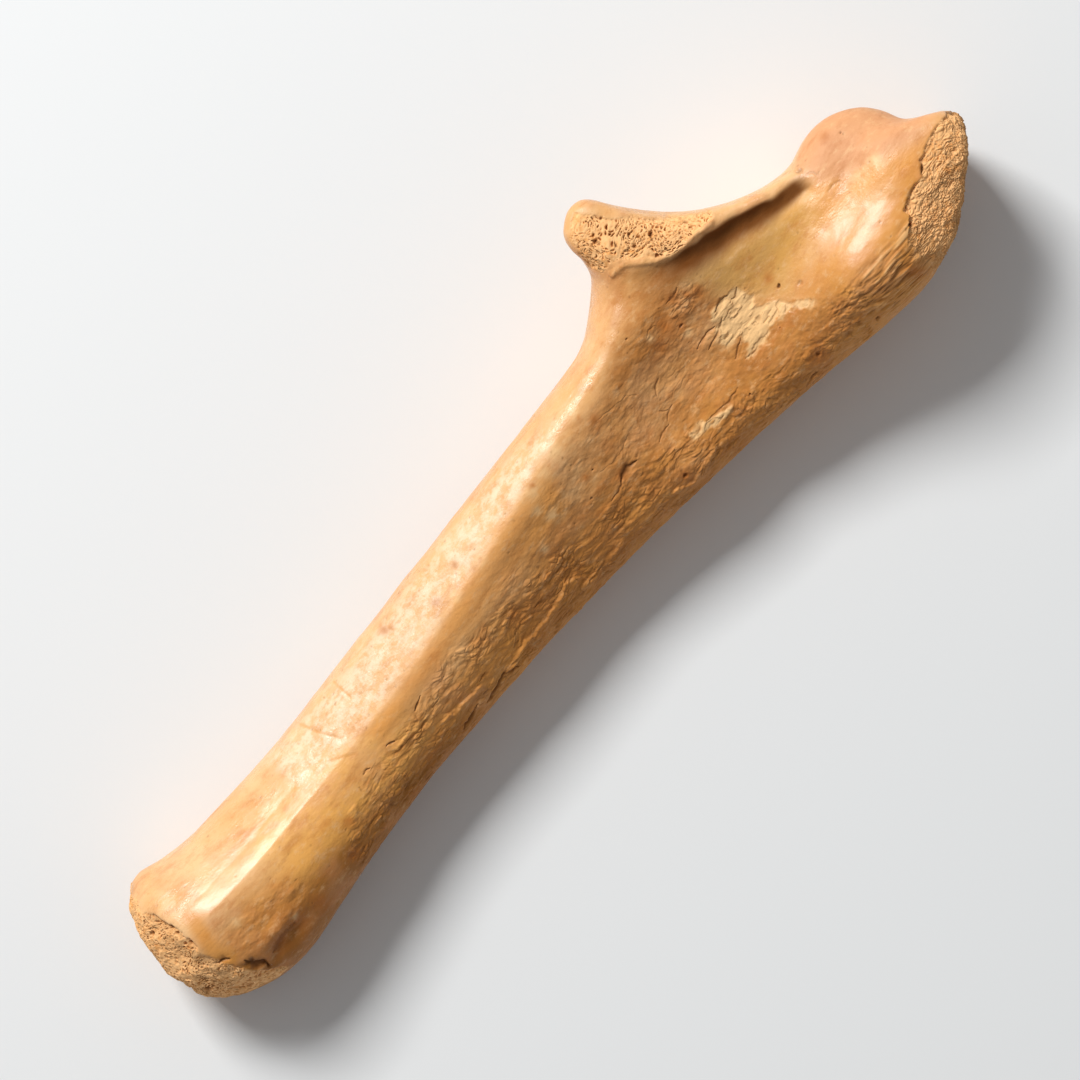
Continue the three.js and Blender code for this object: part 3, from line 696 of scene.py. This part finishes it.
def shape_detail(points, normals):
    """Height of the fine relief in millimetres, and the masks that colour the bone."""
    bone = Surface(points, normals)
    add_swellings(bone)
    add_sponge(bone)
    bark, flank = add_bark(bone)
    combed, comb_highlight = add_combing(bone)
    cream = add_cream_flakes(bone)
    scratches = add_marks(bone)
    shade = add_rim_channel(bone)
    add_specks(bone, bark)

    x, y, _ = points.T
    upper = bone.top * bone.whole
    rim_band = ease(-np.abs(x + 121.8 - 0.28 * y), -3.2, -0.5) * ease(y, -10, -2) * ease(-y, -13, -7)
    amber = np.maximum(bone.within(AMBER_FLANK), bone.within(AMBER_ELBOW) - 0.8)
    elbow_gloss = ease(-bone.near_line(ELBOW_GLOSS), -8, -2)
    shaft_gloss = ease(-bone.near_line(SHAFT_GLOSS), -6, -1)
    glint_breakup = ease(fractal(points, (2, 1.2, 1.2), seed=195), -0.9, 0.4)
    masks = {
        "spongy": bone.spongy,
        "cavity_shade": np.clip(bone.cavity_shade, 0, 1),
        "shade": shade,
        "rough": np.maximum(bark, combed),
        "flank": flank,
        # The cream patch, and the painted highlight along the comb ridges
        "cream": np.maximum(cream, comb_highlight),
        "scratch": scratches,
        "polish": np.maximum(elbow_gloss, shaft_gloss) * bone.top,
        "dull": np.maximum(ease(-normals[:, 1], -0.3, 0.05), np.maximum(bone.spongy, shade)),
        # Painted shade where the elbow face turns downwards
        "under": bone.elbow * ease(-normals[:, 2], -0.35, 0),
        "edge": rim_band * bone.whole,
        "deep": ease(-bone.v, 7.5, 13) * ease(-bone.u, 30, 60) * bone.whole,
        "back": ease(-y, -3, 9),
        "rust": bone.spots(RUST_MARKS) * upper,
        # Painted highlights on small lit edges
        "painted_glint": bone.spots(GLINT_MARKS) * glint_breakup * bone.top,
        "amber": ease(amber, -3, 2) * upper,
        # Painted sheen on the front of the shaft
        "painted_sheen": bone.patch(SHEEN_AREA, -3, 2),
        "neck": bone.patch(NECK, -4, 4),
        "pink": bone.patch(PINK_LOBE, -3, 3),
        "yellow": bone.patch(YELLOW_HOLLOW, -5, 3),
        "gold": bone.patch(GOLD_SHAFT, -8, 3),
    }
    return bone.relief, masks


def refined(mesh, chosen):
    """Splits the faces round the chosen vertices in four."""
    shape = bmesh.new()
    shape.from_mesh(mesh)
    edges = [e for e in shape.edges if chosen[e.verts[0].index] and chosen[e.verts[1].index]]
    bmesh.ops.subdivide_edges(shape, edges=edges, cuts=1, use_grid_fill=True)
    shape.to_mesh(mesh)
    shape.free()


def on_the_map(mesh, origin):
    """Each vertex's place on the bone's map and its normal."""
    count = len(mesh.vertices)
    places = np.empty(3 * count)
    mesh.vertices.foreach_get("co", places)
    normals = np.empty(3 * count)
    mesh.vertex_normals.foreach_get("vector", normals)
    return (places.reshape(-1, 3) - np.array(origin)) / MM, normals.reshape(-1, 3)


def rough_places(points, normals):
    """Where the fine relief needs a finer mesh."""
    u, v = seen_from_above(points)
    near = np.zeros(len(points), bool)
    for outline in (BARK, COMBED, CREAM_PATCH, PALE_FLAKES, FLANK, WRIST_BACK):
        near |= inside(u, v, outline) > -1
    return (near & (normals[:, 2] > 0)) | (np.max(growth_faces(points, normals), axis=0) > 0.02)


def carve(piece, origin):
    """Adds the fine relief to the mesh and keeps its masks for the material."""
    mesh = piece.data
    refined(mesh, rough_places(*on_the_map(mesh, origin)))
    points, normals = on_the_map(mesh, origin)
    relief, masks = shape_detail(points, normals)
    places = (points + normals * relief[:, None]) * MM + np.array(origin)
    places[:, 2] = np.maximum(places[:, 2], 0)
    mesh.vertices.foreach_set("co", places.ravel())
    for name, values in masks.items():
        mesh.attributes.new(name, "FLOAT", "POINT").data.foreach_set("value", values)
    mesh.update()


class Nodes:
    """Short calls for building one material's nodes."""

    def __init__(self, material):
        material.use_nodes = True
        self.tree = material.node_tree
        self.shader = self.tree.nodes["Principled BSDF"]
        self.place = self.tree.nodes.new("ShaderNodeTexCoord").outputs["Object"]

    def link(self, source, socket):
        self.tree.links.new(source, socket)

    def mask(self, name, strength=1):
        node = self.tree.nodes.new("ShaderNodeAttribute")
        node.attribute_name = name
        if strength == 1:
            return node.outputs["Fac"]
        return self.math("MULTIPLY", node.outputs["Fac"], strength)

    def noise(self, size, detail=4, roughness=0.55, stretch=(1, 1, 1)):
        """Noise from 0 to 1 in features about size millimetres wide."""
        mapping = self.tree.nodes.new("ShaderNodeMapping")
        mapping.inputs["Scale"].default_value = [1 / (size * MM * s) for s in stretch]
        self.link(self.place, mapping.inputs["Vector"])
        node = self.tree.nodes.new("ShaderNodeTexNoise")
        node.inputs["Scale"].default_value = 1
        node.inputs["Detail"].default_value = detail
        node.inputs["Roughness"].default_value = roughness
        self.link(mapping.outputs["Vector"], node.inputs["Vector"])
        return node.outputs["Fac"]

    def remap(self, value, low, high, to_low=0, to_high=1):
        node = self.tree.nodes.new("ShaderNodeMapRange")
        node.interpolation_type = "SMOOTHSTEP"
        self.link(value, node.inputs["Value"])
        limits = {"From Min": low, "From Max": high, "To Min": to_low, "To Max": to_high}
        for name, limit in limits.items():
            node.inputs[name].default_value = limit
        return node.outputs["Result"]

    def math(self, operation, a, b):
        node = self.tree.nodes.new("ShaderNodeMath")
        node.operation = operation
        for socket, value in zip(node.inputs, (a, b)):
            if isinstance(value, (int, float)):
                socket.default_value = value
            else:
                self.link(value, socket)
        return node.outputs["Value"]

    def mix(self, factor, a, b, blend="MIX"):
        node = self.tree.nodes.new("ShaderNodeMix")
        node.data_type = "RGBA"
        node.blend_type = blend
        for name, value in (("Factor_Float", factor), ("A_Color", a), ("B_Color", b)):
            socket = next(s for s in node.inputs if s.identifier == name)
            if isinstance(value, (int, float)):
                socket.default_value = value
            elif isinstance(value, tuple):
                socket.default_value = (*value, 1)
            else:
                self.link(value, socket)
        return next(s for s in node.outputs if s.identifier == "Result_Color")

    def bump(self, height, distance, strength, under=None):
        node = self.tree.nodes.new("ShaderNodeBump")
        node.inputs["Distance"].default_value = distance * MM
        self.link(strength, node.inputs["Strength"])
        self.link(height, node.inputs["Height"])
        if under is not None:
            self.link(under, node.inputs["Normal"])
        return node.outputs["Normal"]


def bone_colour(nodes):
    """Peach and ochre with stains, pale places, orange spongy bone, a painted sheen and painted highlights,
    and painted shade in hollows, in the channel under the rim and under the elbow face.
    """
    spongy, flank = nodes.mask("spongy"), nodes.mask("flank")
    colour = nodes.mix(nodes.remap(nodes.noise(20, 5), 0.35, 0.65), PEACH, PALE_PEACH)
    colour = nodes.mix(nodes.mask("back", 0.8), colour, ORANGE)
    colour = nodes.mix(nodes.mask("gold", 0.6), colour, GOLD)
    colour = nodes.mix(nodes.mask("deep", 0.75), colour, DEEP_BROWN)
    blush = nodes.remap(nodes.noise(9, 5, 0.6), 0.46, 0.66, 0, 0.4)
    colour = nodes.mix(blush, colour, PINK)
    clouds = nodes.remap(nodes.noise(7, 7, 0.65, (1.6, 1, 1)), 0.36, 0.66, 0.25, 0.85)
    colour = nodes.mix(nodes.math("MULTIPLY", flank, clouds), colour, BROWN)
    colour = nodes.mix(nodes.math("MULTIPLY", nodes.mask("neck"), clouds), colour, BROWN)
    colour = nodes.mix(nodes.mask("amber", 0.7), colour, AMBER)
    colour = nodes.mix(nodes.mask("yellow", 0.75), colour, YELLOW)
    colour = nodes.mix(nodes.mask("pink", 0.9), colour, PINK)
    streaks = nodes.remap(nodes.noise(3.2, 7, 0.7, (2, 1, 1)), 0.46, 0.72, 0, 0.5)
    colour = nodes.mix(streaks, colour, RUST)
    pale = nodes.remap(nodes.noise(1.8, 7, 0.75, (1.8, 1, 1)), 0.5, 0.72, 0, 0.6)
    colour = nodes.mix(pale, colour, PALE_PEACH)
    # Painted sheen on the front of the shaft, broken up
    sheen_breakup = nodes.remap(nodes.noise(2.6, 7, 0.75, (1.4, 1, 1)), 0.4, 0.6, 0.1, 0.8)
    colour = nodes.mix(nodes.math("MULTIPLY", nodes.mask("painted_sheen"), sheen_breakup), colour, SHEEN)
    specks = nodes.remap(nodes.noise(0.8, 3, 0.7), 0.6, 0.8, 0, 0.45)
    colour = nodes.mix(specks, colour, BROWN)
    mottled = nodes.remap(nodes.noise(1.4, 5, 0.7, (2.2, 1, 1)), 0.42, 0.66, 0, 0.55)
    colour = nodes.mix(nodes.math("MULTIPLY", nodes.mask("rough"), mottled), colour, BROWN)
    # Cream patch, and painted highlight along the comb ridges
    colour = nodes.mix(nodes.mask("cream", 0.82), colour, CREAM_AND_HIGHLIGHT)
    colour = nodes.mix(nodes.mask("rust", 0.7), colour, RUST)
    # Painted highlights on small lit edges
    colour = nodes.mix(nodes.mask("painted_glint", 0.7), colour, GLINT)
    colour = nodes.mix(nodes.mask("scratch", 0.5), colour, ORANGE)
    grain = nodes.mix(nodes.remap(nodes.noise(1.2, 3), 0.4, 0.68), SPONGE, SPONGE_DEEP)
    grain = nodes.mix(nodes.remap(nodes.noise(6, 3), 0.35, 0.65, 0, 0.7), grain, SPONGE)
    colour = nodes.mix(spongy, colour, grain)
    colour = nodes.mix(nodes.mask("edge", 0.7), colour, ORANGE)
    colour = nodes.mix(nodes.mask("shade", 0.95), colour, SHADED)
    # Painted shade on the underside of the elbow face
    colour = nodes.mix(nodes.mask("under", 0.6), colour, DEEP_BROWN)
    # Painted shade in pores, cracks, pits, creases and grooves
    hole = nodes.mix(spongy, CREVICE_SHADE, PORE_SHADE)
    return nodes.mix(nodes.mask("cavity_shade", 0.85), colour, hole)


def bone_gloss(nodes):
    """Roughness of the coat of hardener: uneven, smooth in two places, matt where it is worn or bare."""
    gloss = nodes.remap(nodes.noise(2.4, 7, 0.7, (2, 1, 1)), 0.35, 0.65, 0.22, 0.5)
    uneven = nodes.math("SUBTRACT", gloss, POLISHED)
    gloss = nodes.math("SUBTRACT", gloss, nodes.math("MULTIPLY", nodes.mask("polish"), uneven))
    for name, roughness in MATT_PLACES.items():
        gloss = nodes.math("MAXIMUM", gloss, nodes.mask(name, roughness))
    return gloss


def bone_grain(nodes):
    """The finest grain, too small for the mesh, weaker in the two smooth places."""
    even = nodes.math("SUBTRACT", 1, nodes.mask("polish", 0.72))
    fine = nodes.bump(nodes.noise(0.5, 4, 0.6), 0.045, even)
    brushed = nodes.bump(nodes.noise(1.3, 5, 0.65, (2, 0.8, 0.8)), 0.13, even, under=fine)
    return nodes.bump(nodes.noise(4.5, 3), 0.14, even, under=brushed)


def bone_material():
    """Ochre fossil bone under a thin glossy coat, matt where the spongy bone is bare."""
    material = bpy.data.materials.new("bone")
    nodes = Nodes(material)
    coat = nodes.math("SUBTRACT", 0.5, nodes.mask("dull", 0.4))
    nodes.link(bone_colour(nodes), nodes.shader.inputs["Base Color"])
    nodes.link(bone_gloss(nodes), nodes.shader.inputs["Roughness"])
    nodes.link(coat, nodes.shader.inputs["Specular IOR Level"])
    nodes.link(bone_grain(nodes), nodes.shader.inputs["Normal"])
    return material


def table_top():
    size = TABLE_SIZE * MM
    mesh = bpy.data.meshes.new("table")
    corners = [(-size, -size, 0), (size, -size, 0), (size, size, 0), (-size, size, 0)]
    mesh.from_pydata(corners, [], [(0, 1, 2, 3)])
    table = bpy.data.objects.new("table", mesh)
    bpy.context.scene.collection.objects.link(table)
    material = bpy.data.materials.new("table")
    material.use_nodes = True
    shader = material.node_tree.nodes["Principled BSDF"]
    shader.inputs["Base Color"].default_value = (*TABLE_COLOUR, 1)
    shader.inputs["Roughness"].default_value = TABLE_ROUGHNESS
    mesh.materials.append(material)
    return table


def studio(origin):
    """One soft box from the front of the limb, and a plain bright sky."""
    lamp = bpy.data.lights.new("key", "AREA")
    lamp.shape = "SQUARE"
    lamp.size = KEY_SIZE * MM
    lamp.energy = KEY_POWER
    lamp.color = KEY_COLOUR
    key = bpy.data.objects.new("key", lamp)
    bpy.context.scene.collection.objects.link(key)
    towards = KEY_TOWARDS.normalized()
    key.location = origin + towards * (KEY_DISTANCE * MM)
    key.rotation_mode = "QUATERNION"
    key.rotation_quaternion = towards.to_track_quat("Z", "Y")
    world = bpy.data.worlds.new("sky")
    bpy.context.scene.world = world
    world.use_nodes = True
    sky = world.node_tree.nodes["Background"]
    sky.inputs["Color"].default_value = (1, 1, 1, 1)
    sky.inputs["Strength"].default_value = SKY_STRENGTH
    bpy.context.scene.view_settings.view_transform = "Standard"


def camera(origin):
    """Looks straight down, turned so that the elbow end is up and to the right."""
    data = bpy.data.cameras.new("camera")
    data.sensor_width = 36
    data.lens = data.sensor_width * VIEW_DISTANCE / VIEW_WIDTH
    eye = bpy.data.objects.new("camera", data)
    bpy.context.scene.collection.objects.link(eye)
    eye.location = origin + (VIEW_CENTRE + Vector((0, 0, VIEW_DISTANCE))) * MM
    eye.rotation_euler = (0, 0, math.radians(VIEW_TURN))
    bpy.context.scene.camera = eye
    return eye


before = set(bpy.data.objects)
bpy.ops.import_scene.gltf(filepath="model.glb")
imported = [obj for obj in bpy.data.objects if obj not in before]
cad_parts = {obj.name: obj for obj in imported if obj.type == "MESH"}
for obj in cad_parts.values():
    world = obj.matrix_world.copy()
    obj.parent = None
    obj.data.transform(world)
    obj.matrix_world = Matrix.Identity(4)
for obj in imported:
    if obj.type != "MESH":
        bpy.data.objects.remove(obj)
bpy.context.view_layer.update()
origin = map_origin()
camera(origin)
studio(origin)
table_top()
bone = fine_mesh(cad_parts["ulna"])
carve(bone, origin)
bone.data.materials.append(bone_material())
bone.data.shade_smooth()
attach(bone, "root")
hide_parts("ulna")
print("faces", len(bone.data.polygons))
